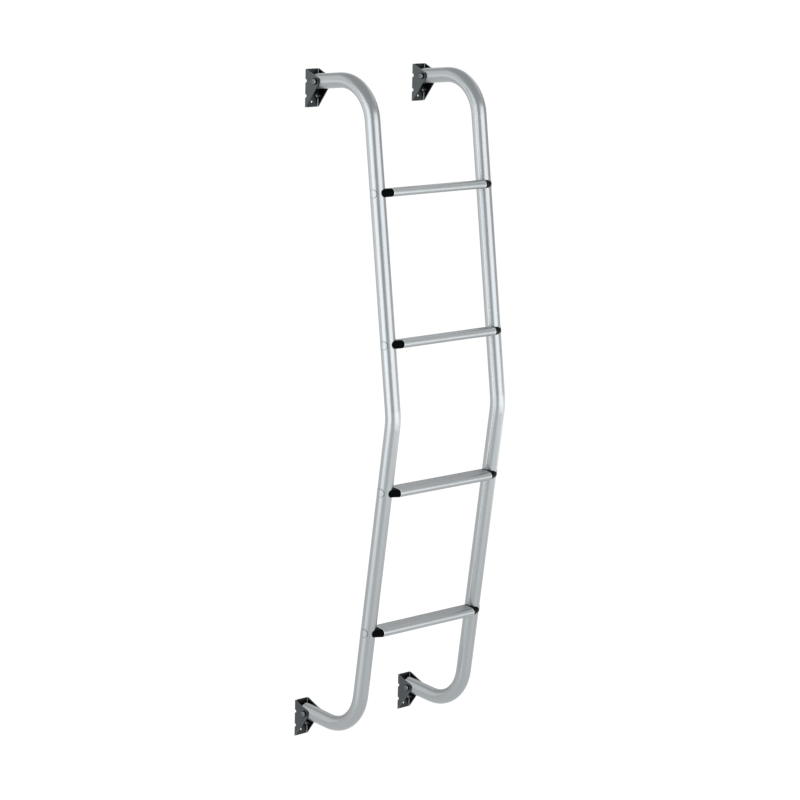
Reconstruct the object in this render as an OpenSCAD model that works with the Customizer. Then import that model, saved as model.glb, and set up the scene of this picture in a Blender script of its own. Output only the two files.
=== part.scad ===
// Four-tread vehicle ladder: two bent aluminium tube rails, four ribbed treads on
// plastic saddles, and four steel U-brackets that swivel on bolts at the rail ends.
// Frame: +X along the treads, +Z up, the vehicle's wall is the plane Y = 0 and the
// ladder stands out towards -Y. The origin is on the upper left bracket's wall face,
// level with its pivot bolt.

/* [Rails] */
// Distance between the two rail axes
rail_spacing = 288; // [240:1:400]
// Outside diameter of the rail tube
rail_d = 30; // [26:0.5:34]
// Wall thickness of the rail tube
rail_wall = 2; // [1.5:0.1:3]
// Height between the upper and the lower pivot bolts
pivot_span = 1260; // [1200:5:1500]
// Length of an arm, from its pivot to the point where arm and rail axes cross
arm_len = 134; // [124:1:200]
// Angle by which an arm rises away from the wall (falls, on the lower arm)
arm_tilt = 6; // [0:0.5:15]
// Lean of each half of the rail from the vertical
rail_tilt = 7.5; // [2:0.5:10]
// Centreline radius of the large bends
bend_r = 82; // [70:1:84]
// Centreline radius of the slight bend at mid height
kink_r = 120; // [90:5:250]
// Length of tube past the pivot bolt
end_overhang = 14.5; // [8:0.5:15]

/* [Treads] */
// Vertical distance between treads
tread_pitch = 286; // [250:1:300]
// Thickness of a tread under its ribs
tread_t = 16; // [14:0.5:20]
// Reach of the tread's nose in front of the rail axis
tread_reach = 26.5; // [24:0.5:40]
// Reach of the tread's rear edge behind the rail axis
tread_rear = 5.5; // [4:0.5:14]
// Wall thickness of the tread extrusion
tread_wall = 1.6; // [1.2:0.1:2.2]
// Radius of the tread's rear edges
tread_rear_r = 2; // [1:0.25:3]
// Number of grip ribs on a tread
rib_count = 6; // [3:1:6]
// Distance between grip ribs
rib_pitch = 4; // [2.5:0.25:4]
// Radius of a rib's round top
rib_r = 0.9; // [0.6:0.1:1.1]
// Height of a rib above the tread
rib_h = 0.6; // [0.3:0.1:0.6]

/* [Tread fixings] */
// Distance from the rail axis forward to the tread's screw
screw_offset = 2.5; // [0:0.5:4]
// Diameter of the tread screw's shank
screw_d = 8; // [6:0.5:8]
// Core diameter of the screw's threaded end
screw_core_d = 6.7; // [5:0.1:6.7]
// Length of the screw inside the tread
screw_grip = 32; // [15:1:60]
// Diameter of the tread screw's head
screw_head_d = 12; // [10:0.5:13]
// Height of the tread screw's head
screw_head_h = 5; // [3:0.5:6]
// Wall of the tread round its screw port
port_wall = 2.5; // [1.8:0.1:3]
// Diameter of the access hole in a rail's outer wall
access_d = 14; // [13.5:0.5:16]
// Diameter of the plug's cap that hides an access hole
plug_d = 17; // [16.5:0.5:20]
// Height of the plug's cap above the tube
plug_h = 0.8; // [0.5:0.1:2]
// Depth of the plug's stem inside the tube's outer surface
plug_stem = 4; // [3:0.5:6]

/* [Saddles] */
// Thickness of a saddle between the tube and the tread's end
saddle_wall = 3.7; // [2.5:0.1:8]
// Thickness of the lip that wraps the front of the tube
lip_t = 3.6; // [2.5:0.1:5]
// Distance that the lip runs on past the tube's front
lip_over = 3.6; // [1:0.1:6]
// Length of the spigot inside the tread
spigot_len = 12; // [6:1:25]
// Wall of the hollow spigot
spigot_wall = 2; // [1.5:0.1:3]

/* [Brackets] */
// Distance from the wall to a pivot bolt
pivot_standoff = 29; // [28.5:0.5:35]
// Thickness of the bracket's sheet steel
plate_t = 2.5; // [2:0.1:3]
// Height of the bracket above its pivot
plate_up = 22; // [20:1:35]
// Height of the bracket below its pivot
plate_down = 52; // [48:1:60]
// Inside radius of the bracket's folds
fold_r = 0.5; // [0.4:0.1:1.5]
// Radius of an ear's nose round the pivot bolt
nose_r = 9.5; // [8:0.5:14]
// Diameter of the wall fixing holes
fixing_d = 4.9; // [4.5:0.1:6.5]
// Distance from the plate's lower end to the lower fixing hole
fixing_edge = 10; // [7:0.5:12]
// Distance between the two fixing holes
fixing_span = 47; // [44:1:54]
// Height of the lower darts below the pivot
dart_down = 29.8; // [28:0.2:32]
// Distance between the lower and the upper darts
dart_pitch = 29; // [26:0.5:32]
// Radius of the darts pressed across the folds
dart_r = 4; // [3.2:0.1:4.4]
// Rise of a dart's ridge above the fold's inner corner
dart_rise = 5.2; // [4.2:0.1:5.4]
// Depth of a dart's trough below the fold's outer corner
dart_depth = 4.2; // [3.8:0.1:4.6]

/* [Pivot bolts] */
// Diameter of a pivot bolt
bolt_d = 6; // [5:0.5:8]
// Diameter of the bolt's round head
head_d = 10.5; // [9.5:0.5:13]
// Height of the bolt's round head
head_h = 2.8; // [2.4:0.1:5]
// Width across the flats of the bolt's socket
socket_af = 4; // [3:0.5:5]
// Depth of the bolt's socket
socket_depth = 1.8; // [1:0.1:2]
// Diameter of a washer
washer_d = 12.5; // [12:0.5:18]
// Thickness of a washer
washer_t = 1.6; // [1:0.1:2]
// Width across the flats of the lock nut
nut_af = 10; // [9:0.5:13]
// Height of the lock nut
nut_h = 6; // [4:0.5:8]
// Length of bolt past the nut
bolt_tail = 2; // [0:0.5:5]

/* [Fits] */
// Radial clearance of a bolt in the bores that turn on it
run_fit = 0.05; // [0.02:0.01:0.1]
// Clearance of fixed pieces that go into one another
seat_fit = 0.15; // [0.05:0.05:0.3]
// Clearance of a threaded end in its port, and of faces that press on each other
touch_fit = 0.05; // [0.02:0.01:0.1]
// Gap between a tube and each ear beside it
side_gap = 0.25; // [0.1:0.05:0.5]

/* [Hidden] */
$fn = 64;

// Run of a cutting shape past what it cuts
cut = 1;
// A surface that would only graze its neighbour lies this far inside it
graze = 0.02;
// Length by which a bend's tube laps into the straights
bend_lap = 0.5;
rail_r = rail_d / 2;
bore_r = rail_r - rail_wall;

// Where the rail's axis runs, as reach from the wall and height
mid_z = -pivot_span / 2;
corner_u = pivot_standoff + arm_len * cos(arm_tilt);
corner_z = arm_len * sin(arm_tilt);
bend_angle = 90 + arm_tilt - rail_tilt;
bend_tangent = bend_r * tan(bend_angle / 2);
kink_tangent = kink_r * tan(rail_tilt);
leg_len = (corner_z - mid_z) / cos(rail_tilt);

// Tread places: 1 is the top tread
tread_z = [for (i = [0:3]) mid_z + (1.5 - i) * tread_pitch];
tread_u = [for (z = tread_z) corner_u + (corner_z + pivot_span / 2 - abs(z - mid_z)) * tan(rail_tilt)];
tread_lean = [for (z = tread_z) z > mid_z ? rail_tilt : -rail_tilt];

// Tread and saddle sizes along X, measured from the rail axis
tread_end = rail_r + saddle_wall;
tread_len = rail_spacing - 2 * tread_end;
nose_r2 = tread_t / 2;
port_d = screw_core_d + 2 * touch_fit;
port_r = port_d / 2 + port_wall;
cell_from = screw_offset + port_r;
cell_h = tread_t - 2 * tread_wall;
screw_hole_d = screw_d + 2 * seat_fit;

// The saddle's front runs from the tread's nose to the lip's end
lip_u = sqrt(rail_r * rail_r - lip_over * lip_over) + lip_t;
front_run = tread_end + lip_over;
front_angle = atan((tread_reach - lip_u) / front_run);

// Bracket sizes
ear_in = rail_r + side_gap;
ear_out = ear_in + plate_t;
fold_out_r = fold_r + plate_t;

// Point where the line from p touches the circle of radius r about the pivot, on
// the far side from the wall; s is 1 above the pivot and -1 below it
function touch(p, r, s) =
    let (d = norm(p), a = atan2(p[1], p[0]), b = acos(r / d))
    [r * cos(a - s * b), r * sin(a - s * b)];

// Puts a piece at a point of the plane beside the rail, u out from the wall, z up
module at(u, z) {
    translate([0, -u, z]) children();
}

// Round bar that starts at (u, z) and heads up by angle h
module straight(u, z, h, length, r) {
    at(u, z) rotate([90 - h, 0, 0]) cylinder(r = r, h = length);
}

// Bend that starts at (u, z) with heading h and turns down by angle a round path_r.
// It laps into its neighbours
module bend(u, z, h, path_r, a, r) {
    lap = bend_lap / path_r * 180 / PI;
    at(u + path_r * sin(h), z - path_r * cos(h))
        rotate([180 - h, 0, 0]) rotate([0, 90, 0]) rotate([0, 0, -lap])
            rotate_extrude(angle = a + 2 * lap)
                translate([path_r, 0]) circle(r = r - graze);
}

// Upper half of a bar along the rail's axis: arm, large bend and leg. The arm
// starts at distance past before its pivot
module half_run(r, past) {
    bend_from = arm_len - bend_tangent;
    straight(pivot_standoff - past * cos(arm_tilt), -past * sin(arm_tilt), arm_tilt,
             past + bend_from, r);
    bend(pivot_standoff + bend_from * cos(arm_tilt), bend_from * sin(arm_tilt),
         arm_tilt, bend_r, bend_angle, r);
    straight(corner_u + bend_tangent * sin(rail_tilt), corner_z - bend_tangent * cos(rail_tilt),
             rail_tilt - 90, leg_len - bend_tangent - kink_tangent, r);
}

// Bar along the whole axis of a rail, whose halves mirror each other
module full_run(r, past) {
    kink_from = leg_len - kink_tangent;
    half_run(r, past);
    translate([0, 0, 2 * mid_z]) mirror([0, 0, 1]) half_run(r, past);
    bend(corner_u + kink_from * sin(rail_tilt), corner_z - kink_from * cos(rail_tilt),
         rail_tilt - 90, kink_r, 2 * rail_tilt, r);
}

// Puts a piece in the frame of tread i: -Y out of the tread's nose, +Z along the rail
module at_tread(i) {
    at(tread_u[i], tread_z[i]) rotate([-tread_lean[i], 0, 0]) children();
}

// Round bar along +X from x0 to x1 on the tread's screw axis
module screw_bar(d, x0, x1) {
    translate([x0, -screw_offset, 0]) rotate([0, 90, 0]) cylinder(d = d, h = x1 - x0);
}

// A rail with its pivot holes, and with a screw hole and an access hole at each tread.
// The treads are on the +X side
module drilled_rail() {
    difference() {
        full_run(rail_r, end_overhang);
        full_run(bore_r, end_overhang + cut);
        for (z = [0, -pivot_span])
            at(pivot_standoff, z) rotate([0, 90, 0])
                cylinder(d = bolt_d + 2 * run_fit, h = 2 * rail_d, center = true);
        for (i = [0:3]) at_tread(i) {
            screw_bar(screw_hole_d, 0, rail_d);
            screw_bar(access_d, -rail_d, 0);
        }
    }
}

// Outline of a tread, x out to the nose and y up
module tread_outline() {
    body = tread_rear + tread_reach - nose_r2;
    translate([-tread_rear, -nose_r2 + tread_rear_r])
        square([body, tread_t - 2 * tread_rear_r]);
    translate([-tread_rear + tread_rear_r, -nose_r2])
        square([body - tread_rear_r, tread_t]);
    for (s = [-1, 1])
        translate([-tread_rear + tread_rear_r, s * (nose_r2 - tread_rear_r)])
            circle(r = tread_rear_r);
    translate([tread_reach - nose_r2, 0]) circle(r = nose_r2);
}

// Hollow cell of a tread, drawn in by gap g
module cell_outline(g) {
    nose = cell_h / 2 - g;
    translate([cell_from + g, -nose])
        square([tread_reach - nose_r2 - cell_from - g, 2 * nose]);
    translate([tread_reach - nose_r2, 0]) circle(r = nose);
}

// Tread section with its ribs, cell and screw port
module tread_section() {
    rib_from = (tread_reach - nose_r2 - tread_rear - (rib_count - 1) * rib_pitch) / 2;
    difference() {
        union() {
            tread_outline();
            for (i = [0:rib_count - 1])
                translate([rib_from + i * rib_pitch, nose_r2 + rib_h - rib_r]) circle(r = rib_r);
        }
        cell_outline(0);
        translate([screw_offset, 0]) circle(d = port_d);
    }
}

// Turns an outline drawn in the tread's section plane into a bar along +X
module along_x(x0, x1) {
    translate([x0, 0, 0]) rotate([90, 0, 90]) linear_extrude(x1 - x0) mirror([1, 0]) children();
}

module tread(i) {
    color("silver") at_tread(i) along_x(tread_end, tread_end + tread_len) tread_section();
}

// Saddle on the +X side of a rail: it carries on the tread's outline to the front of
// the tube, where its lip ends in a half round
module saddle_block() {
    lip_end = -lip_over;
    intersection() {
        along_x(lip_end, tread_end) tread_outline();
        // Slanted front with the tread's round nose
        translate([tread_end, -tread_reach, 0]) rotate([0, 0, -front_angle])
            translate([0, tread_reach, 0])
                along_x(-2 * front_run, front_run) tread_outline();
        // Half-round end of the lip, seen from the front
        translate([lip_end + nose_r2, cut, 0]) rotate([90, 0, 0])
            linear_extrude(3 * tread_reach, center = true) {
                circle(r = nose_r2);
                translate([0, -nose_r2]) square([2 * tread_end, tread_t]);
            }
    }
}

module saddle(i) {
    color([0.03, 0.03, 0.03]) at_tread(i) difference() {
        union() {
            saddle_block();
            along_x(tread_end - cut, tread_end + spigot_len) difference() {
                cell_outline(seat_fit);
                cell_outline(seat_fit + spigot_wall);
            }
        }
        cylinder(r = rail_r + seat_fit, h = 4 * tread_t, center = true);
        screw_bar(screw_hole_d, 0, 2 * tread_end);
    }
}

// Plug in a rail's outer wall: a cap that follows the tube, and a round stem
module plug(i) {
    cap_in = rail_r + touch_fit;
    color("silver") at_tread(i) difference() {
        intersection() {
            cylinder(r = cap_in + plug_h, h = 2 * plug_d, center = true);
            screw_bar(plug_d, -2 * rail_r, 0);
        }
        difference() {
            cylinder(r = cap_in, h = 3 * plug_d, center = true);
            screw_bar(access_d - 2 * seat_fit, -3 * rail_r, 0);
        }
        screw_bar(2 * plug_d, -(rail_r - plug_stem), rail_r);
    }
}

// Screw that clamps a tread to the rail: its head is rounded to the tube's bore
module tread_screw(i) {
    seat = sqrt(pow(bore_r, 2) - pow(screw_offset + screw_head_d / 2, 2));
    at_tread(i) {
        intersection() {
            screw_bar(screw_head_d, seat - screw_head_h, rail_r);
            cylinder(r = bore_r - touch_fit, h = 2 * rail_d, center = true);
        }
        screw_bar(screw_d, seat - cut, tread_end - seat_fit);
        screw_bar(screw_core_d, tread_end - 2 * seat_fit, tread_end + screw_grip);
    }
}

module tread_screws() {
    color("gray") for (i = [0:3]) tread_screw(i);
}

// Side view of a bracket, x out from the wall and y up from the pivot
module bracket_side() {
    top = [plate_t - pivot_standoff, plate_up];
    foot = [plate_t - pivot_standoff, -plate_down];
    translate([pivot_standoff, 0]) {
        polygon([
            [-pivot_standoff, -plate_down], foot, touch(foot, nose_r - graze, -1), [0, 0],
            touch(top, nose_r - graze, 1), top, [-pivot_standoff, plate_up]
        ]);
        circle(r = nose_r);
    }
}

// Folded channel seen from above, x along the treads and y out from the wall
module channel_plan() {
    difference() {
        union() {
            translate([-ear_out, fold_out_r]) square([2 * ear_out, pivot_standoff + nose_r]);
            translate([-ear_out + fold_out_r, 0]) square([2 * (ear_out - fold_out_r), fold_out_r + cut]);
            for (s = [-1, 1])
                translate([s * (ear_out - fold_out_r), fold_out_r]) circle(r = fold_out_r);
        }
        translate([-ear_in, plate_t + fold_r]) square([2 * ear_in, pivot_standoff + 2 * nose_r]);
        translate([-ear_in + fold_r, plate_t]) square([2 * (ear_in - fold_r), fold_r + cut]);
        for (s = [-1, 1])
            translate([s * (ear_in - fold_r), plate_t + fold_r]) circle(r = fold_r);
    }
}

// Round bars across both folds at height z, which reach in by deep from the corners
// at x to either side and y out from the wall
module fold_bars(x, y, z, deep) {
    in = (deep - dart_r) * sqrt(0.5);
    for (s = [-1, 1])
        translate([s * (x - in), -y - in, z]) rotate([0, 0, s * 45]) rotate([90, 0, 0])
            cylinder(r = dart_r, h = 4 * deep, center = true);
}

// Ridges of the darts inside the channel at height z; they start within the sheet
module dart_ridges(z) {
    run = 2 * dart_rise;
    intersection() {
        fold_bars(ear_in, plate_t, z, dart_rise);
        translate([0, -plate_t / 2 - run / 2, z])
            cube([2 * ear_in + plate_t, run, 3 * dart_r], center = true);
    }
}

// Bracket with its pivot on the line x = 0, z = 0
module bracket() {
    low_fixing = fixing_edge - plate_down;
    color([0.32, 0.34, 0.36]) difference() {
        union() {
            intersection() {
                translate([0, 0, -plate_down]) linear_extrude(plate_up + plate_down)
                    mirror([0, 1]) channel_plan();
                along_x(-ear_out, ear_out) bracket_side();
            }
            for (z = [-dart_down, dart_pitch - dart_down]) dart_ridges(z);
        }
        at(pivot_standoff, 0) rotate([0, 90, 0])
            cylinder(d = bolt_d + 2 * run_fit, h = 3 * ear_out, center = true);
        for (z = [-dart_down, dart_pitch - dart_down]) fold_bars(ear_out, 0, z, dart_depth);
        for (z = [low_fixing, low_fixing + fixing_span])
            translate([0, 0, z]) rotate([90, 0, 0])
                cylinder(d = fixing_d, h = 3 * plate_t, center = true);
    }
}

// Round bar along +X on the pivot's axis
module pivot_bar(d, x0, x1) {
    at(pivot_standoff, 0) translate([x0, 0, 0]) rotate([0, 90, 0]) cylinder(d = d, h = x1 - x0);
}

// Outer faces of the washers, which lie beside the ears
washer_in = ear_out + side_gap / 2;
washer_out = washer_in + washer_t;

module pivot_bolt() {
    color([0.75, 0.76, 0.78]) difference() {
        union() {
            pivot_bar(head_d, -washer_out - head_h, -washer_out);
            pivot_bar(bolt_d, -washer_out - cut, washer_out + nut_h + bolt_tail);
        }
        at(pivot_standoff, 0) translate([-washer_out - head_h - cut, 0, 0]) rotate([0, 90, 0])
            cylinder(d = socket_af / cos(30), h = socket_depth + cut, $fn = 6);
    }
}

module pivot_washers() {
    color([0.05, 0.05, 0.05]) for (x = [-washer_out, washer_in]) difference() {
        pivot_bar(washer_d, x, x + washer_t);
        pivot_bar(bolt_d + 2 * run_fit, x - cut, x + washer_t + cut);
    }
}

module pivot_nut() {
    color([0.75, 0.76, 0.78]) difference() {
        at(pivot_standoff, 0) translate([washer_out, 0, 0]) rotate([0, 90, 0])
            cylinder(d = nut_af / cos(30), h = nut_h, $fn = 6);
        pivot_bar(bolt_d + 2 * run_fit, washer_out - cut, washer_out + nut_h + cut);
    }
}

// Places a left-hand piece on the right rail
module to_right_rail() {
    translate([rail_spacing, 0, 0]) mirror([1, 0, 0]) children();
}

// Places a piece of the upper left bracket at another corner
module corner(right, low) {
    translate([right ? rail_spacing : 0, 0, low ? -pivot_span : 0]) children();
}

color("silver") drilled_rail();  // left_rail
color("silver") to_right_rail() drilled_rail();  // right_rail
tread(0);  // tread_1
tread(1);  // tread_2
tread(2);  // tread_3
tread(3);  // tread_4
saddle(0);  // left_saddle_1
saddle(1);  // left_saddle_2
saddle(2);  // left_saddle_3
saddle(3);  // left_saddle_4
to_right_rail() saddle(0);  // right_saddle_1
to_right_rail() saddle(1);  // right_saddle_2
to_right_rail() saddle(2);  // right_saddle_3
to_right_rail() saddle(3);  // right_saddle_4
plug(0);  // left_plug_1
plug(1);  // left_plug_2
plug(2);  // left_plug_3
plug(3);  // left_plug_4
to_right_rail() plug(0);  // right_plug_1
to_right_rail() plug(1);  // right_plug_2
to_right_rail() plug(2);  // right_plug_3
to_right_rail() plug(3);  // right_plug_4
tread_screws();  // left_tread_screws
to_right_rail() tread_screws();  // right_tread_screws
bracket();  // upper_left_bracket
corner(true, false) bracket();  // upper_right_bracket
corner(false, true) bracket();  // lower_left_bracket
corner(true, true) bracket();  // lower_right_bracket
pivot_bolt();  // upper_left_bolt
corner(true, false) pivot_bolt();  // upper_right_bolt
corner(false, true) pivot_bolt();  // lower_left_bolt
corner(true, true) pivot_bolt();  // lower_right_bolt
pivot_washers();  // upper_left_washers
corner(true, false) pivot_washers();  // upper_right_washers
corner(false, true) pivot_washers();  // lower_left_washers
corner(true, true) pivot_washers();  // lower_right_washers
pivot_nut();  // upper_left_nut
corner(true, false) pivot_nut();  // upper_right_nut
corner(false, true) pivot_nut();  // lower_left_nut
corner(true, true) pivot_nut();  // lower_right_nut
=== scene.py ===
"""Looks of a four-tread vehicle ladder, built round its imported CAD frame.

The rails, treads, saddles, plugs, washers and tread screws are the frame's own meshes in
finishes made here. The brackets get broken edges, and the pivot bolts and lock nuts are made
anew with their sockets, chamfers and threads. Lengths are in metres.
"""

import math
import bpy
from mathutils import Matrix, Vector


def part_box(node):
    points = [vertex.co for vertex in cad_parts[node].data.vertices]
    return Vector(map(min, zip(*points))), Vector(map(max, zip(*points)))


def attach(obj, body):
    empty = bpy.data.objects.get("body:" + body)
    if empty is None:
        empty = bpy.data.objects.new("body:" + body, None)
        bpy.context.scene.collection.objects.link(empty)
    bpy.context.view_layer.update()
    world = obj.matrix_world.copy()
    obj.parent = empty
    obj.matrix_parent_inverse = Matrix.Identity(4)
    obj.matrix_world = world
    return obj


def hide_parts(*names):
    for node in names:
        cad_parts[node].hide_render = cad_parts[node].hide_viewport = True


bl_info = {
    "name": "Vehicle ladder",
    "version": (1, 0, 0),
    "blender": (4, 5, 0),
    "location": "View3D > Sidebar > Ladder",
    "description": "Finishes and fasteners of a vehicle ladder, with its stage",
    "category": "Object",
}

from typing import NamedTuple

import bmesh
import bpy
from bpy.props import FloatProperty, FloatVectorProperty, PointerProperty
from bpy.types import Operator, Panel, PropertyGroup
from mathutils import Matrix, Vector

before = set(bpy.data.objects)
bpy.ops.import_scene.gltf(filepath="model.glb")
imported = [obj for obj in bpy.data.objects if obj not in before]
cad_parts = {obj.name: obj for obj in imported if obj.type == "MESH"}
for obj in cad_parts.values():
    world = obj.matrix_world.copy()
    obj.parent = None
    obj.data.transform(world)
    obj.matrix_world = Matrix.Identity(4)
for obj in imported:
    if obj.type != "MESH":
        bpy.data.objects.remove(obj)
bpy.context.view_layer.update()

CORNERS = ("upper_left", "upper_right", "lower_left", "lower_right")
ROWS = (1, 2, 3, 4)
FRAME_BODY = "ladder_frame"

# Thickness of a bracket's sheet, and how far its lower darts lie below the pivot
SHEET = 0.0025
DART_DOWN = 0.0298

# Sides of a turned piece, and the angle past which a modelled edge is sharp
SIDES = 96
SHARP = math.radians(28)


def middle(node):
    """Middle of a CAD node's box."""
    low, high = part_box(node)
    return (low + high) / 2


def nodes_with(word):
    """The CAD nodes whose names hold a word."""
    return [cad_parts[name] for name in sorted(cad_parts) if word in name]


PIVOTS = {c: Vector((middle(c + "_bracket").x, *middle(c + "_washers").yz)) for c in CORNERS}
HEAD_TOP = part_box("upper_left_bolt")[0].x
HEAD_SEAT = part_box("upper_left_washers")[0].x
NUT_SEAT, NUT_TOP = (corner.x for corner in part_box("upper_left_nut"))
BOLT_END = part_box("upper_left_bolt")[1].x


# Shader maths

class Value:
    """A socket of a material's node tree that takes part in plain expressions."""

    def __init__(self, finish, socket):
        self.finish = finish
        self.socket = socket

    def math(self, operation, *others):
        return self.finish.node("ShaderNodeMath", {"operation": operation}, [self, *others])

    def __add__(self, other):
        return self.math("ADD", other)

    def __radd__(self, other):
        return self.math("ADD", other)

    def __sub__(self, other):
        return self.math("SUBTRACT", other)

    def __rsub__(self, other):
        return self.finish.node("ShaderNodeMath", {"operation": "SUBTRACT"}, [other, self])

    def __mul__(self, other):
        return self.math("MULTIPLY", other)

    def __rmul__(self, other):
        return self.math("MULTIPLY", other)

    def __pow__(self, other):
        return self.math("POWER", other)

    def __abs__(self):
        return self.math("ABSOLUTE")

    def above(self, edge, width):
        """0 below the edge, 1 past it, with a smooth step of the given width."""
        settings = {"interpolation_type": "SMOOTHSTEP"}
        inputs = {"Value": self, "From Min": edge - width / 2, "From Max": edge + width / 2}
        return self.finish.node("ShaderNodeMapRange", settings, inputs)

    def below(self, edge, width):
        """1 below the edge, 0 past it."""
        return 1.0 - self.above(edge, width)

    def between(self, low, high, width):
        """1 between two edges, 0 outside them."""
        return self.above(low, width) * self.below(high, width)


class Finish:
    """A material round one Principled shader."""

    def __init__(self, name, **fixed):
        self.material = bpy.data.materials.new(name)
        self.material.use_nodes = True
        self.tree = self.material.node_tree
        self.tree.nodes.clear()
        self.shader = self.tree.nodes.new("ShaderNodeBsdfPrincipled")
        output = self.tree.nodes.new("ShaderNodeOutputMaterial")
        self.tree.links.new(self.shader.outputs[0], output.inputs[0])
        self.set(**fixed)

    def plug(self, socket, value):
        if isinstance(value, Value):
            self.tree.links.new(value.socket, socket)
        elif socket.type == "RGBA":
            socket.default_value = (*value[:3], 1)
        else:
            socket.default_value = value

    def node(self, kind, settings=None, inputs=(), out=0):
        """Adds a node: its settings first, then values or links for its sockets."""
        made = self.tree.nodes.new(kind)
        for key, value in (settings or {}).items():
            setattr(made, key, value)
        pairs = inputs.items() if isinstance(inputs, dict) else enumerate(inputs)
        for key, value in pairs:
            self.plug(made.inputs[key], value)
        return Value(self, made.outputs[out])

    def set(self, **sockets):
        """Sets sockets of the shader, named as base_color for Base Color."""
        for key, value in sockets.items():
            title = key.replace("_", " ").title().replace("Ior", "IOR")
            self.plug(self.shader.inputs[title], value)

    def place(self, scale):
        """Object coordinates, stretched by a scale on each axis."""
        spot = self.node("ShaderNodeTexCoord", out="Object")
        return self.node("ShaderNodeVectorMath", {"operation": "MULTIPLY"}, [spot, scale])

    def axis(self, name):
        """One of the object coordinates."""
        spot = self.node("ShaderNodeTexCoord", out="Object")
        return self.node("ShaderNodeSeparateXYZ", None, [spot], out=name)

    def noise(self, scale, stretch=(1, 1, 1), detail=2.0, rough=0.5):
        """Noise with so many blotches to the metre, times the stretch on each axis."""
        return self.node("ShaderNodeTexNoise", None, {
            "Vector": self.place(stretch), "Scale": scale, "Detail": detail, "Roughness": rough})

    def blend(self, share, first, second):
        """Colour between two colours."""
        settings = {"data_type": "RGBA"}
        return self.node("ShaderNodeMix", settings, {0: share, 6: first, 7: second}, out=2)

    def fade(self, share, first, second):
        """Number between two numbers."""
        return self.node("ShaderNodeMix", {"data_type": "FLOAT"}, {0: share, 2: first, 3: second})

    def shades(self, share, colour, dark, light):
        """Colour between a darker and a lighter tint of one colour."""
        return self.blend(share, tint(colour, dark), tint(colour, light))

    def relief(self, height, depth, strength, edge=0.0):
        """Bumps of a depth, over edges that look broken by a radius."""
        inputs = {"Height": height, "Distance": depth, "Strength": strength}
        if edge:
            inputs["Normal"] = self.node("ShaderNodeBevel", {"samples": 4}, [edge])
        self.set(normal=self.node("ShaderNodeBump", None, inputs))


def tint(colour, factor):
    """A colour times a factor, each part at most 1."""
    return tuple(min(1.0, part * factor) for part in colour[:3])


def dress(objects, finish):
    """Puts a finish on every material slot of some objects."""
    for each in objects:
        if not each.data.materials:
            each.data.materials.append(finish.material)
        for index in range(len(each.data.materials)):
            each.data.materials[index] = finish.material


# Geometry Nodes

class Recipe:
    """A Geometry Nodes tree with named inputs."""

    def __init__(self, name):
        self.tree = bpy.data.node_groups.new(name, "GeometryNodeTree")
        for way in ("INPUT", "OUTPUT"):
            self.tree.interface.new_socket("Geometry", in_out=way, socket_type="NodeSocketGeometry")
        self.start = self.tree.nodes.new("NodeGroupInput")
        self.values = {}

    def input(self, name, value, kind="NodeSocketFloat"):
        """Adds an input, with the value that the modifier gives it."""
        socket = self.tree.interface.new_socket(name, in_out="INPUT", socket_type=kind)
        self.values[socket.identifier] = value
        return self.start.outputs[name]

    def node(self, kind, settings=None, inputs=(), out=0):
        """Adds a node: its settings first, then a value, a link or a list of links for a socket."""
        made = self.tree.nodes.new(kind)
        for key, value in (settings or {}).items():
            setattr(made, key, value)
        pairs = inputs.items() if isinstance(inputs, dict) else enumerate(inputs)
        for key, value in pairs:
            for one in value if isinstance(value, list) else [value]:
                if isinstance(one, bpy.types.NodeSocket):
                    self.tree.links.new(one, made.inputs[key])
                else:
                    made.inputs[key].default_value = one
        return made.outputs[out]

    def at_pivots(self, shape, finish, name):
        """Sets a shape on each pivot and gives back the result as a plain object."""
        points = {"Points": self.start.outputs[0], "Instance": shape}
        spread = self.node("GeometryNodeInstanceOnPoints", None, points)
        whole = self.node("GeometryNodeRealizeInstances", None, [spread])
        dressed = {"Geometry": whole, "Material": finish.material}
        coloured = self.node("GeometryNodeSetMaterial", None, dressed)
        last = self.tree.nodes.new("NodeGroupOutput")
        self.tree.links.new(coloured, last.inputs[0])
        holder = part_object(name, pivot_points())
        modifier = holder.modifiers.new("recipe", "NODES")
        modifier.node_group = self.tree
        for identifier, value in self.values.items():
            modifier[identifier] = value
        holder.data = plain_mesh(holder, name)
        holder.modifiers.clear()
        return holder


def plain_mesh(source, name):
    """The evaluated mesh of an object, as a mesh of its own."""
    bpy.context.view_layer.update()
    graph = bpy.context.evaluated_depsgraph_get()
    mesh = bpy.data.meshes.new_from_object(source.evaluated_get(graph), depsgraph=graph)
    mesh.name = name
    return mesh


def pivot_points():
    """A mesh of one vertex at each pivot."""
    mesh = bpy.data.meshes.new("pivots")
    mesh.from_pydata([PIVOTS[c] for c in CORNERS], [], [])
    return mesh


def lathe(name, rings, close=True):
    """Mesh of rings along +X. A ring is its x and its radius, which may be a function that
    gives the radius at each angle."""
    shape = bmesh.new()
    loops = []
    for x, radius in rings:
        loop = []
        for step in range(SIDES):
            angle = 2 * math.pi * step / SIDES
            reach = radius(angle) if callable(radius) else radius
            loop.append(shape.verts.new((x, reach * math.cos(angle), reach * math.sin(angle))))
        loops.append(loop)
    for one, other in zip(loops, loops[1:]):
        for step in range(SIDES):
            after = (step + 1) % SIDES
            shape.faces.new((one[step], one[after], other[after], other[step]))
    if close:
        shape.faces.new(loops[0])
        shape.faces.new(loops[-1])
    bmesh.ops.recalc_face_normals(shape, faces=shape.faces)
    return finished(shape, name)


def finished(shape, name):
    """Turns a bmesh into a mesh that is smooth between its sharp edges."""
    mesh = bpy.data.meshes.new(name)
    shape.to_mesh(mesh)
    shape.free()
    mesh.shade_smooth()
    mesh.set_sharp_from_angle(angle=SHARP)
    return mesh


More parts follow.
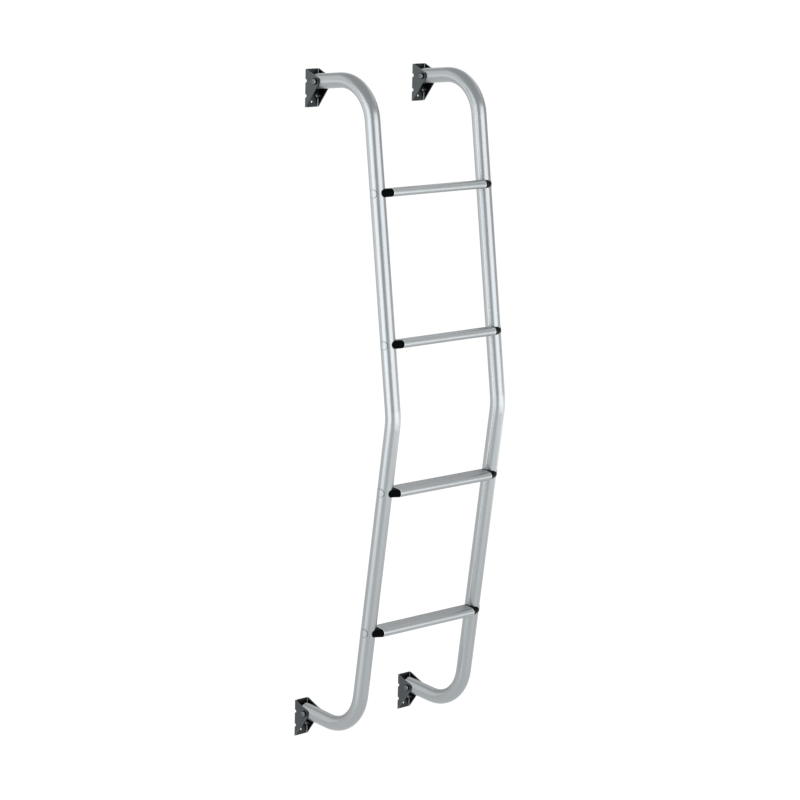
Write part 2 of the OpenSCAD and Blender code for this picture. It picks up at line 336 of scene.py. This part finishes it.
def hexagon(across):
    """Reach of a hexagon of a width across its flats, at each angle."""
    def reach(angle):
        part = math.remainder(angle, math.pi / 3)
        return across / 2 / math.cos(part)
    return reach


def quarter_turn(steps):
    """Angles of a quarter turn in equal steps."""
    return [math.pi / 2 * step / steps for step in range(steps + 1)]


def part_object(name, mesh):
    """An object in the scene that holds a mesh."""
    made = bpy.data.objects.new(name, mesh)
    bpy.context.scene.collection.objects.link(made)
    return made


# Settings

class LadderFinishSettings(PropertyGroup):
    tube_colour: FloatVectorProperty(
        name="Tube colour", description="Colour of the anodised aluminium tube",
        subtype="COLOR", size=3, min=0, max=1, default=(0.350, 0.370, 0.381))
    tube_roughness: FloatProperty(
        name="Tube roughness", description="Roughness of the satin tube",
        min=0, max=1, default=0.29)
    tread_colour: FloatVectorProperty(
        name="Tread colour", description="Colour of the anodised treads",
        subtype="COLOR", size=3, min=0, max=1, default=(0.362, 0.382, 0.392))
    tread_roughness: FloatProperty(
        name="Tread roughness", description="Roughness of the satin treads",
        min=0, max=1, default=0.33)
    grain_depth: FloatProperty(
        name="Grain depth", description="Depth of the metal's fine grain",
        unit="LENGTH", min=0, max=0.001, precision=6, default=0.00002)
    plastic_colour: FloatVectorProperty(
        name="Plastic colour", description="Colour of the saddles and washers",
        subtype="COLOR", size=3, min=0, max=1, default=(0.0012, 0.0018, 0.0021))
    bracket_colour: FloatVectorProperty(
        name="Bracket colour", description="Colour of the coated steel brackets",
        subtype="COLOR", size=3, min=0, max=1, default=(0.060, 0.069, 0.074))
    bracket_edge: FloatProperty(
        name="Bracket edge", description="Width of the brackets' broken edges",
        unit="LENGTH", min=0, max=0.001, precision=5, default=0.0003)
    steel_colour: FloatVectorProperty(
        name="Steel colour", description="Colour of the bolts, nuts and screws",
        subtype="COLOR", size=3, min=0, max=1, default=(0.165, 0.175, 0.182))


class LadderFastenerSettings(PropertyGroup):
    head_diameter: FloatProperty(
        name="Head diameter", description="Diameter of a pivot bolt's round head",
        unit="LENGTH", min=0.004, max=0.02, precision=4, default=0.0105)
    socket_across: FloatProperty(
        name="Socket across flats", description="Width of the socket in a pivot bolt's head",
        unit="LENGTH", min=0.001, max=0.008, precision=4, default=0.004)
    socket_depth: FloatProperty(
        name="Socket depth", description="Depth of the socket in a pivot bolt's head",
        unit="LENGTH", min=0.0005, max=0.003, precision=4, default=0.0018)
    thread_diameter: FloatProperty(
        name="Thread diameter", description="Outside diameter of a pivot bolt's thread",
        unit="LENGTH", min=0.003, max=0.01, precision=4, default=0.006)
    thread_pitch: FloatProperty(
        name="Thread pitch", description="Distance from one turn of the thread to the next",
        unit="LENGTH", min=0.0005, max=0.002, precision=4, default=0.001)
    nut_across: FloatProperty(
        name="Nut across flats", description="Width of a lock nut across its flats",
        unit="LENGTH", min=0.006, max=0.016, precision=4, default=0.010)


class LadderStageSettings(PropertyGroup):
    camera_place: FloatVectorProperty(
        name="Camera place", description="Where the camera stands",
        subtype="TRANSLATION", unit="LENGTH", size=3, default=(-3.78357, -4.12307, 0.43888))
    heading: FloatProperty(
        name="Heading", description="Turn of the camera from +Y towards +X",
        unit="ROTATION", default=0.77553)
    dip: FloatProperty(
        name="Dip", description="Angle by which the camera looks down",
        unit="ROTATION", default=0.18777)
    roll: FloatProperty(
        name="Roll", description="Turn of the camera about its line of sight",
        unit="ROTATION", default=0.02322)
    lens: FloatProperty(
        name="Lens", description="Focal length on a 36 mm sensor",
        subtype="DISTANCE_CAMERA", min=10, max=400, default=130.186)
    floor_height: FloatProperty(
        name="Floor height", description="Height of the floor, below the hanging ladder",
        unit="LENGTH", default=-2.3)
    left_light: FloatProperty(
        name="Left light", description="Radiance of the large soft box on the camera's left",
        min=0, max=10, default=1.7)
    side_light: FloatProperty(
        name="Side light", description="Radiance of the tall soft box square to the camera's view",
        min=0, max=10, default=0.6)
    right_light: FloatProperty(
        name="Right light", description="Radiance of the large soft box on the camera's right",
        min=0, max=10, default=1.68)
    far_light: FloatProperty(
        name="Far light", description="Radiance of the soft box that the treads' noses show",
        min=0, max=10, default=0.95)
    back_light: FloatProperty(
        name="Back light", description="Radiance of the two soft boxes above and behind the ladder",
        min=0, max=10, default=0.45)
    room_light: FloatProperty(
        name="Room light", description="Level of the light from all round",
        min=0, max=2, default=0.7)


class LadderSettings(PropertyGroup):
    finish: PointerProperty(type=LadderFinishSettings)
    fasteners: PointerProperty(type=LadderFastenerSettings)
    stage: PointerProperty(type=LadderStageSettings)


# Pieces

def anodised(name, colour, roughness, grain, streaks, marks=()):
    """Satin anodised aluminium: fine grain, faint drawing lines and a slow change of tone.
    A mark is a function that gives its share at each spot, and the factor of its tone."""
    finish = Finish(name, metallic=1.0)
    fine = finish.noise(1400)
    lines = finish.noise(1, stretch=streaks, detail=4.0, rough=0.6)
    slow = finish.noise(9)
    tone = 0.35 * fine + 0.4 * lines + 0.25 * slow
    base = finish.shades(tone, colour, dark=0.86, light=1.12)
    for share, factor in marks:
        base = finish.blend(share(finish), base, tint(colour, factor))
    finish.set(base_color=base)
    finish.set(roughness=finish.fade(0.5 * lines + 0.5 * fine, roughness - 0.05, roughness + 0.05))
    finish.relief(0.6 * fine + 0.4 * lines, grain, strength=0.6, edge=0.0003)
    return finish


class LADDER_OT_rails(Operator):
    """Finishes the two bent tube rails"""
    bl_idname = "ladder.rails"
    bl_label = "Rails"

    def execute(self, context):
        looks = context.scene.ladder.finish
        finish = anodised("anodised tube", looks.tube_colour, looks.tube_roughness,
                          looks.grain_depth, streaks=(900, 900, 25))
        dress(nodes_with("_rail"), finish)
        return {"FINISHED"}


class LADDER_OT_treads(Operator):
    """Finishes the ribbed treads"""
    bl_idname = "ladder.treads"
    bl_label = "Treads"

    # Share and tone of the painted shade between the ribs, and where it lies below their crests
    GROOVE_SHADE_SHARE = 0.2
    GROOVE_SHADE_TONE = 0.3
    GROOVE_TOP = 0.0003
    GROOVE_FOOT = 0.0010
    # Share, tone and width of the painted highlight along the cut ends
    END_HIGHLIGHT_SHARE = 0.8
    END_HIGHLIGHT_TONE = 1.9
    END_HIGHLIGHT_WIDTH = 0.0013
    # Least upward part of a normal on a tread's top
    UPWARD = 0.8

    def execute(self, context):
        looks = context.scene.ladder.finish
        for row in ROWS:
            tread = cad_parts[f"tread_{row}"]
            marks = ((self.painted_groove_shade(tread.data), self.GROOVE_SHADE_TONE),
                     (self.painted_end_highlight(tread.data), self.END_HIGHLIGHT_TONE))
            finish = anodised(f"anodised tread {row}", looks.tread_colour, looks.tread_roughness,
                              looks.grain_depth, streaks=(20, 1200, 1200), marks=marks)
            dress([tread], finish)
        return {"FINISHED"}

    def painted_groove_shade(self, mesh):
        """Painted shade on the flats between the ribs of a leaning tread's top."""
        flats = [face for face in mesh.polygons if face.normal.z > self.UPWARD]
        up = max(flats, key=lambda face: face.area).normal.copy()
        top = max(up.dot(point.co) for point in mesh.vertices)

        # Painted shade between the ribs
        def dark(finish):
            height = finish.axis("Y") * up.y + finish.axis("Z") * up.z
            band = height.between(top - self.GROOVE_FOOT, top - self.GROOVE_TOP, width=0.0003)
            return self.GROOVE_SHADE_SHARE * band
        return dark

    def painted_end_highlight(self, mesh):
        """Painted highlight round a tread's two cut ends."""
        reach = [point.co.x for point in mesh.vertices]
        heart, half = (min(reach) + max(reach)) / 2, (max(reach) - min(reach)) / 2

        # Painted highlight along the cut ends
        def bright(finish):
            off = abs(finish.axis("X") - heart)
            return self.END_HIGHLIGHT_SHARE * off.above(half - self.END_HIGHLIGHT_WIDTH, width=0.0004)
        return bright


class LADDER_OT_plugs(Operator):
    """Finishes the round plugs in the rails' outer walls"""
    bl_idname = "ladder.plugs"
    bl_label = "Plugs"

    # Share, tone and width of the painted shade in the gap round a plug, and how much rougher a
    # plug is than the tube
    SEAM_SHADE_SHARE = 0.8
    SEAM_SHADE_TONE = 0.3
    SEAM_SHADE_WIDTH = 0.0008
    ROUGHER = 0.04

    def execute(self, context):
        looks = context.scene.ladder.finish
        roughness = looks.tube_roughness + self.ROUGHER
        for row in ROWS:
            marks = ((self.painted_seam_shade(f"left_plug_{row}"), self.SEAM_SHADE_TONE),)
            finish = anodised(f"satin plugs {row}", looks.tube_colour, roughness,
                              looks.grain_depth, streaks=(600, 600, 600), marks=marks)
            dress(nodes_with(f"_plug_{row}"), finish)
        return {"FINISHED"}

    def painted_seam_shade(self, node):
        """Painted shade in the gap where a plug's edge meets the tube."""
        low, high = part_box(node)
        heart, reach = (low + high) / 2, (high.z - low.z) / 2

        # Painted shade in the seam round the plug
        def dark(finish):
            along, up = finish.axis("Y") - heart.y, finish.axis("Z") - heart.z
            radius = (along ** 2.0 + up ** 2.0) ** 0.5
            return self.SEAM_SHADE_SHARE * radius.above(reach - self.SEAM_SHADE_WIDTH, width=0.0003)
        return dark


def moulded(name, colour, roughness):
    """Black moulded plastic with a fine matt texture."""
    finish = Finish(name, ior=1.08)
    fine = finish.noise(2600)
    slow = finish.noise(60)
    finish.set(base_color=finish.shades(fine, colour, dark=0.75, light=1.35))
    finish.set(roughness=finish.fade(0.5 * fine + 0.5 * slow, roughness - 0.07, roughness + 0.07))
    finish.relief(fine, 0.00003, strength=0.5, edge=0.0004)
    return finish


class LADDER_OT_saddles(Operator):
    """Finishes the black saddles that hold the treads"""
    bl_idname = "ladder.saddles"
    bl_label = "Saddles"

    def execute(self, context):
        looks = context.scene.ladder.finish
        finish = moulded("saddle plastic", looks.plastic_colour, roughness=0.4)
        dress(nodes_with("_saddle_"), finish)
        return {"FINISHED"}


class LADDER_OT_washers(Operator):
    """Finishes the black washers beside the brackets"""
    bl_idname = "ladder.washers"
    bl_label = "Washers"

    def execute(self, context):
        looks = context.scene.ladder.finish
        finish = moulded("washer plastic", looks.plastic_colour, roughness=0.45)
        dress(nodes_with("_washers"), finish)
        return {"FINISHED"}


class LADDER_OT_brackets(Operator):
    """Breaks the edges of the folded brackets and gives them their dark coat"""
    bl_idname = "ladder.brackets"
    bl_label = "Brackets"

    # Heights past which the inner folds get a painted highlight, from the pivot, and how far the
    # painted highlight reaches in from an ear's inner face and out from the wall
    HIGHLIGHT_ABOVE = 0.008
    HIGHLIGHT_BELOW = -0.036
    FOLD_WIDTH = 0.0010
    FOLD_DEPTH = 0.0042
    # How far into the sheet of the ears and of the plate the painted shade of the channel ends
    SHADE_IN_EAR = 0.0004
    SHADE_IN_PLATE = 0.0010
    # Where the painted highlight of the crescent round a lower dart lies: its middle in from the
    # ear's inner face, its two radii, and how far in it reaches
    DART_IN = 0.0020
    DART_RADII = (0.0028, 0.0040)
    DART_REACH = 0.0025
    # Shares and tones of the painted shade inside the channel and of the painted highlights
    SHADE_SHARE = 0.7
    SHADE_TONE = 0.1
    CRESCENT_HIGHLIGHT_SHARE = 0.7
    PAINTED_HIGHLIGHT_TONE = 6.5

    def execute(self, context):
        looks = context.scene.ladder.finish
        for corner in CORNERS:
            node = corner + "_bracket"
            finish = self.coat(looks.bracket_colour, corner)
            piece = part_object(corner + "_coated_bracket", self.shape(node, looks.bracket_edge))
            dress([piece], finish)
            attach(piece, corner + "_bracket_body")
            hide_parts(node)
        return {"FINISHED"}

    def shape(self, node, width):
        """The bracket's solid with its flat faces whole and its edges bevelled."""
        shape = bmesh.new()
        shape.from_mesh(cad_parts[node].data)
        bmesh.ops.remove_doubles(shape, verts=shape.verts, dist=1e-6)
        flat = math.radians(0.5)
        bmesh.ops.dissolve_limit(shape, angle_limit=flat, verts=shape.verts, edges=shape.edges)
        holder = part_object("bracket blank", finished(shape, "bracket blank"))
        bevel = holder.modifiers.new("edge", "BEVEL")
        bevel.width = width
        bevel.segments = 2
        bevel.limit_method = "ANGLE"
        bevel.angle_limit = math.radians(40)
        bevel.harden_normals = True
        mesh = plain_mesh(holder, node + " coated")
        bpy.data.objects.remove(holder)
        return mesh

    def coat(self, colour, corner):
        """Dark satin plating on steel: slightly uneven, with a fine texture, with painted shade
        inside the channel and painted highlights along its inner folds and round the lower darts."""
        finish = Finish(corner + " bracket coat", metallic=1.0, coat_roughness=0.3)
        inside, fold, crescent = self.places(finish, corner)
        peel = finish.noise(900)
        slow = finish.noise(45, detail=3.0)
        base = finish.shades(slow, colour, dark=0.85, light=1.18)
        # Painted shade inside the channel, then painted highlights on the inner folds and round the
        # darts
        base = finish.blend(self.SHADE_SHARE * inside, base, tint(colour, self.SHADE_TONE))
        painted_highlight = (fold + self.CRESCENT_HIGHLIGHT_SHARE * crescent) * inside
        finish.set(base_color=finish.blend(painted_highlight, base, tint(colour, self.PAINTED_HIGHLIGHT_TONE)))
        finish.set(roughness=finish.fade(0.6 * peel + 0.4 * slow, 0.34, 0.46))
        finish.set(coat_weight=finish.fade(slow, 0.1, 0.25))
        finish.relief(peel, 0.00003, strength=0.5)
        return finish

    def places(self, finish, corner):
        """Where the channel's inside with its painted shade, the painted highlights on its folds
        and the painted highlight crescents round the darts are.
        """
        low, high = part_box(corner + "_bracket")
        face = (high.x - low.x) / 2 - SHEET
        off = abs(finish.axis("X") - (low.x + high.x) / 2)
        deep = finish.axis("Y")
        height = finish.axis("Z") - PIVOTS[corner].z
        inside = off.below(face + self.SHADE_IN_EAR, width=0.0003)
        inside = inside * deep.below(self.SHADE_IN_PLATE - SHEET, width=0.0005)
        ends = height.above(self.HIGHLIGHT_ABOVE, width=0.002)
        ends = ends + height.below(self.HIGHLIGHT_BELOW, width=0.002)
        fold = off.above(face - self.FOLD_WIDTH, width=0.0006)
        fold = fold * deep.above(-self.FOLD_DEPTH, width=0.0008) * ends
        from_dart = ((off - (face - self.DART_IN)) ** 2.0 + (height + DART_DOWN) ** 2.0) ** 0.5
        crescent = from_dart.between(*self.DART_RADII, width=0.0006)
        crescent = crescent * off.below(face - self.DART_REACH, width=0.001)
        return inside, fold, crescent


def bright_steel(name, colour, roughness):
    """Turned stainless steel with faint tool marks round its axis."""
    finish = Finish(name, metallic=1.0)
    fine = finish.noise(3000)
    marks = finish.noise(1, stretch=(9000, 300, 300))
    finish.set(base_color=finish.shades(0.5 * fine + 0.5 * marks, colour, dark=0.85, light=1.12))
    finish.set(roughness=finish.fade(marks, roughness - 0.05, roughness + 0.08))
    finish.relief(marks, 0.00001, strength=0.4)
    return finish


class LADDER_OT_bolts(Operator):
    """Makes the pivot bolts: round heads with sockets, shanks and threaded ends"""
    bl_idname = "ladder.bolts"
    bl_label = "Pivot bolts"

    # The head's flat top as a share of its radius, its straight side, and its broken edges
    FLAT_SHARE = 0.62
    SIDE = 0.0005
    EDGE = 0.0002
    DOME_STEPS = 12
    # The socket's chamfer, its slight taper, and the depth and end radius of its drilled point
    MOUTH = 0.0003
    TAPER = 0.97
    POINT = 0.0006
    POINT_END = 0.0001
    # The thread's depth as a share of its pitch, how far short of the nut's end the bolt's core
    # starts, the run-out before it, the bolt's broken tip, and the points in a turn
    DEPTH_SHARE = 0.61
    CORE_START = 0.001
    RUN_OUT = 0.0005
    TIP = 0.0004
    TURN_POINTS = 24

    def execute(self, context):
        sizes = context.scene.ladder.fasteners
        steel = context.scene.ladder.finish.steel_colour
        finish = bright_steel("bolt steel", steel, roughness=0.24)
        recipe = Recipe("pivot bolts")
        blank = part_object("bolt blank", self.blank(sizes))
        blank_in = recipe.input("Blank", blank, "NodeSocketObject")
        diameter = recipe.input("Thread diameter", sizes.thread_diameter)
        pitch = recipe.input("Thread pitch", sizes.thread_pitch)
        room = BOLT_END - NUT_TOP + self.CORE_START
        length = recipe.input("Thread length", room - sizes.thread_pitch)
        body = recipe.node("GeometryNodeObjectInfo", None, [blank_in], out="Geometry")
        thread = self.thread(recipe, diameter, pitch, length)
        whole = recipe.node("GeometryNodeJoinGeometry", None, [[body, thread]])
        bolts = recipe.at_pivots(whole, finish, "pivot_bolts")
        bpy.data.objects.remove(blank)
        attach(bolts, FRAME_BODY)
        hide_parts(*[c + "_bolt" for c in CORNERS])
        return {"FINISHED"}

    def blank(self, sizes):
        """Head, socket and shank, with the bolt's tip at its core size."""
        head = sizes.head_diameter / 2
        shank = sizes.thread_diameter / 2
        core = shank - self.DEPTH_SHARE * sizes.thread_pitch
        flat = self.FLAT_SHARE * head
        dome = HEAD_SEAT - HEAD_TOP - self.SIDE
        bottom = HEAD_TOP + sizes.socket_depth
        core_start = NUT_TOP - self.CORE_START
        socket = hexagon(sizes.socket_across)
        rings = [
            (bottom + self.POINT, self.POINT_END),
            (bottom, lambda angle: self.TAPER * socket(angle)),
            (HEAD_TOP + self.MOUTH, socket),
            (HEAD_TOP, lambda angle: socket(angle) + self.MOUTH),
        ]
        for turn in quarter_turn(self.DOME_STEPS):
            rings.append((HEAD_TOP + dome * (1 - math.cos(turn)),
                          flat + (head - flat) * math.sin(turn)))
        rings += [
            (HEAD_SEAT - self.EDGE, head), (HEAD_SEAT, head - self.EDGE), (HEAD_SEAT, shank),
            (core_start - self.RUN_OUT, shank), (core_start, core),
            (BOLT_END - self.TIP, core), (BOLT_END, core - self.TIP),
        ]
        return lathe("bolt blank", rings)

    def thread(self, recipe, diameter, pitch, length):
        """A ridge that winds round the bolt's tip."""
        def work_out(operation, one, other):
            return recipe.node("ShaderNodeMath", {"operation": operation}, [one, other])

        turns = work_out("DIVIDE", length, pitch)
        depth = work_out("MULTIPLY", pitch, 0.5)
        radius = work_out("SUBTRACT", work_out("MULTIPLY", diameter, 0.5), depth)
        spiral = recipe.node("GeometryNodeCurveSpiral", None, {
            "Resolution": self.TURN_POINTS, "Rotations": turns, "Start Radius": radius,
            "End Radius": radius, "Height": length})
        ridge = recipe.node("GeometryNodeCurvePrimitiveCircle", None,
                            {"Resolution": 4, "Radius": depth})
        tube = recipe.node("GeometryNodeCurveToMesh", None,
                           {"Curve": spiral, "Profile Curve": ridge, "Fill Caps": True})
        return recipe.node("GeometryNodeTransform", None, {
            "Geometry": tube, "Rotation": (0, math.pi / 2, 0),
            "Translation": (NUT_TOP - self.CORE_START, 0, 0)})


class LADDER_OT_nuts(Operator):
    """Makes the lock nuts on the bolts' far ends"""
    bl_idname = "ladder.nuts"
    bl_label = "Lock nuts"

    # Radii as shares of the width across the flats: of the bearing face, of the collar's foot
    # and of the collar
    FACE_SHARE = 0.475
    FOOT_SHARE = 0.455
    COLLAR_SHARE = 0.44
    # A chamfer on the corners is steps of a rise and a share of the width
    CHAMFER_STEPS = 5
    CHAMFER_RISE = 0.00012
    CHAMFER_SHARE = 0.024
    # Height and rounding of the collar, the recess of its locking ring, and the bore's clearance
    COLLAR = 0.0015
    COLLAR_EDGE = 0.0004
    COLLAR_ROUND = 0.0005
    ROUND_STEPS = 6
    RECESS_WIDTH = 0.0007
    RECESS_DEPTH = 0.0005
    RECESS_SLOPE = 0.0001
    CLEARANCE = 0.00005

    def execute(self, context):
        sizes = context.scene.ladder.fasteners
        steel = context.scene.ladder.finish.steel_colour
        finish = bright_steel("nut steel", steel, roughness=0.3)
        recipe = Recipe("lock nuts")
        blank = part_object("nut blank", self.blank(sizes))
        blank_in = recipe.input("Blank", blank, "NodeSocketObject")
        body = recipe.node("GeometryNodeObjectInfo", None, [blank_in], out="Geometry")
        nuts = recipe.at_pivots(body, finish, "lock_nuts")
        bpy.data.objects.remove(blank)
        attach(nuts, FRAME_BODY)
        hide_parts(*[c + "_nut" for c in CORNERS])
        return {"FINISHED"}

    def blank(self, sizes):
        """A hexagon with chamfered corners and a round collar over its locking ring."""
        across = sizes.nut_across
        six = hexagon(across)
        bore = sizes.thread_diameter / 2 + self.CLEARANCE
        collar_foot = NUT_TOP - self.COLLAR
        collar = self.COLLAR_SHARE * across

        def corner(step):
            reach = (self.FACE_SHARE + self.CHAMFER_SHARE * step) * across
            return lambda angle: min(six(angle), reach)

        steps = range(1, self.CHAMFER_STEPS + 1)
        rings = [(NUT_SEAT, bore), (NUT_SEAT, self.FACE_SHARE * across)]
        rings += [(NUT_SEAT + self.CHAMFER_RISE * step, corner(step)) for step in steps]
        rings += [(collar_foot - self.CHAMFER_RISE * step, corner(step))
                  for step in reversed(steps)]
        rings += [(collar_foot, self.FOOT_SHARE * across), (NUT_TOP - self.COLLAR_EDGE, collar)]
        for turn in quarter_turn(self.ROUND_STEPS)[1:]:
            rings.append((NUT_TOP - self.COLLAR_EDGE * (1 - math.sin(turn)),
                          collar - self.COLLAR_ROUND * (1 - math.cos(turn))))
        recess = bore + self.RECESS_WIDTH
        floor = NUT_TOP - self.RECESS_DEPTH
        rings += [(NUT_TOP, recess), (floor, recess - self.RECESS_SLOPE),
                  (floor - self.RECESS_SLOPE, bore), (NUT_SEAT, bore)]
        return lathe("nut blank", rings, close=False)


class LADDER_OT_tread_screws(Operator):
    """Finishes the screws inside the rails"""
    bl_idname = "ladder.tread_screws"
    bl_label = "Tread screws"

    def execute(self, context):
        steel = context.scene.ladder.finish.steel_colour
        finish = Finish("zinc plate", metallic=1.0)
        patches = finish.noise(120, detail=3.0)
        fine = finish.noise(2000)
        finish.set(base_color=finish.shades(patches, steel, dark=0.75, light=1.05))
        finish.set(roughness=finish.fade(fine, 0.28, 0.42))
        finish.relief(fine, 0.00001, strength=0.4, edge=0.0003)
        dress(nodes_with("_tread_screws"), finish)
        return {"FINISHED"}


class SoftBox(NamedTuple):
    """A soft box that faces the ladder. As the ladder sees it, its way is the angle to the
    right of the camera and its rise the angle above the horizon, in degrees. Its size is its
    width and height, and it gives a share of one of the stage's lights."""
    name: str
    way: float
    rise: float
    distance: float
    size: tuple
    light: str
    share: float = 1.0


class LADDER_OT_stage(Operator):
    """Sets up the camera, the pale floor and the soft light"""
    bl_idname = "ladder.stage"
    bl_label = "Stage"

    # The spot that the soft boxes face, and the boxes
    HEART = Vector((0.144, -0.14, -0.35))
    BOXES = (
        SoftBox("left box", -48, 3, 2.6, (2.6, 2.45), "left_light"),
        SoftBox("side box", -100, 17, 2.6, (1.9, 3.2), "side_light"),
        SoftBox("right box", 54, 3, 2.6, (3.0, 2.45), "right_light"),
        SoftBox("low left box", -48, -29.7, 3.0, (2.4, 0.9), "left_light", 0.33),
        SoftBox("low right box", 54, -29.7, 3.0, (2.8, 0.9), "right_light", 0.2),
        SoftBox("far box", 108, -18, 2.9, (3.3, 1.0), "far_light"),
        SoftBox("back box", 174, 29, 3.2, (2.6, 1.5), "back_light"),
        SoftBox("high box", 125, 42, 3.2, (3.0, 1.7), "back_light"),
    )
    # Half the floor's width, and the strength of the glow that makes it show as white
    FLOOR_REACH = 70
    FLOOR_GLOW = 0.9

    def execute(self, context):
        stage = context.scene.ladder.stage
        context.scene.view_settings.view_transform = "Standard"
        self.camera(context.scene, stage)
        self.floor(stage)
        self.world(context.scene, stage)
        for box in self.BOXES:
            self.soft_box(box, stage)
        return {"FINISHED"}

    def directions(self, stage):
        """Forward, right and up of the camera."""
        turn, roll = stage.heading, stage.roll
        ahead = self.towards(turn, -stage.dip)
        right = Vector((math.cos(turn), -math.sin(turn), 0))
        up = right.cross(ahead)
        rolled = math.cos(roll) * right + math.sin(roll) * up
        return ahead, rolled, rolled.cross(ahead)

    def towards(self, turn, rise):
        """Direction at a turn from +Y towards +X and a rise above the horizon."""
        return Vector((math.sin(turn) * math.cos(rise), math.cos(turn) * math.cos(rise),
                       math.sin(rise)))

    def camera(self, scene, stage):
        """The camera at the photograph's view."""
        ahead, right, up = self.directions(stage)
        data = bpy.data.cameras.new("camera")
        data.sensor_width = 36
        data.lens = stage.lens
        data.clip_end = 200
        camera = bpy.data.objects.new("camera", data)
        turn = Matrix((right, up, -ahead)).transposed().to_4x4()
        camera.matrix_world = Matrix.Translation(stage.camera_place) @ turn
        scene.collection.objects.link(camera)
        scene.camera = camera

    def floor(self, stage):
        """A wide floor that the camera, reflections and clear pieces see as white."""
        mesh = bpy.data.meshes.new("floor")
        corners = [(x * self.FLOOR_REACH, y * self.FLOOR_REACH, stage.floor_height)
                   for x, y in ((-1, -1), (1, -1), (1, 1), (-1, 1))]
        mesh.from_pydata(corners, [], [(0, 1, 2, 3)])
        floor = part_object("floor", mesh)
        finish = Finish("pale floor", base_color=(0.2, 0.2, 0.2), roughness=0.9,
                        specular_ior_level=0.0, emission_color=(1, 1, 1))
        finish.set(emission_strength=self.FLOOR_GLOW * self.seen(finish))
        dress([floor], finish)

    def seen(self, finish):
        """1 for rays that come from the camera, a reflection or a clear piece."""
        rays = [finish.node("ShaderNodeLightPath", out=kind)
                for kind in ("Is Camera Ray", "Is Glossy Ray", "Is Transmission Ray")]
        return (rays[0] + rays[1] + rays[2]).math("MINIMUM", 1.0)

    def world(self, scene, stage):
        """Plain soft light from all round."""
        world = bpy.data.worlds.new("studio")
        world.use_nodes = True
        scene.world = world
        background = world.node_tree.nodes["Background"]
        background.inputs["Color"].default_value = (1, 1, 1, 1)
        background.inputs["Strength"].default_value = stage.room_light

    def soft_box(self, box, stage):
        """An area light in the place of a soft box, turned to the ladder."""
        turn = stage.heading + math.pi - math.radians(box.way)
        spot = self.HEART + box.distance * self.towards(turn, math.radians(box.rise))
        data = bpy.data.lights.new(box.name, "AREA")
        data.shape = "RECTANGLE"
        width, height = box.size
        data.size, data.size_y = width, height
        radiance = box.share * getattr(stage, box.light)
        data.energy = radiance * math.pi * width * height
        lamp = bpy.data.objects.new(box.name, data)
        aim = (self.HEART - spot).to_track_quat("-Z", "Y")
        lamp.matrix_world = Matrix.Translation(spot) @ aim.to_matrix().to_4x4()
        bpy.context.scene.collection.objects.link(lamp)


class LADDER_PT_panel(Panel):
    """Lists the ladder's sizes, colours and pieces"""
    bl_idname = "LADDER_PT_panel"
    bl_label = "Vehicle ladder"
    bl_space_type = "VIEW_3D"
    bl_region_type = "UI"
    bl_category = "Ladder"

    def draw(self, context):
        settings = context.scene.ladder
        for group in (settings.finish, settings.fasteners, settings.stage):
            box = self.layout.box()
            for key in group.__annotations__:
                box.prop(group, key)
        for operator in OPERATORS:
            self.layout.operator(operator.bl_idname)


SETTINGS = (LadderFinishSettings, LadderFastenerSettings, LadderStageSettings, LadderSettings)
OPERATORS = (
    LADDER_OT_rails, LADDER_OT_treads, LADDER_OT_saddles, LADDER_OT_plugs,
    LADDER_OT_brackets, LADDER_OT_bolts, LADDER_OT_nuts, LADDER_OT_washers,
    LADDER_OT_tread_screws, LADDER_OT_stage,
)
CLASSES = (*SETTINGS, *OPERATORS, LADDER_PT_panel)


def register():
    for each in CLASSES:
        bpy.utils.register_class(each)
    bpy.types.Scene.ladder = PointerProperty(type=LadderSettings)


def unregister():
    del bpy.types.Scene.ladder
    for each in reversed(CLASSES):
        bpy.utils.unregister_class(each)


def main():
    register()
    for operator in OPERATORS:
        group, name = operator.bl_idname.split(".")
        getattr(getattr(bpy.ops, group), name)()


if __name__ == "__main__":
    main()
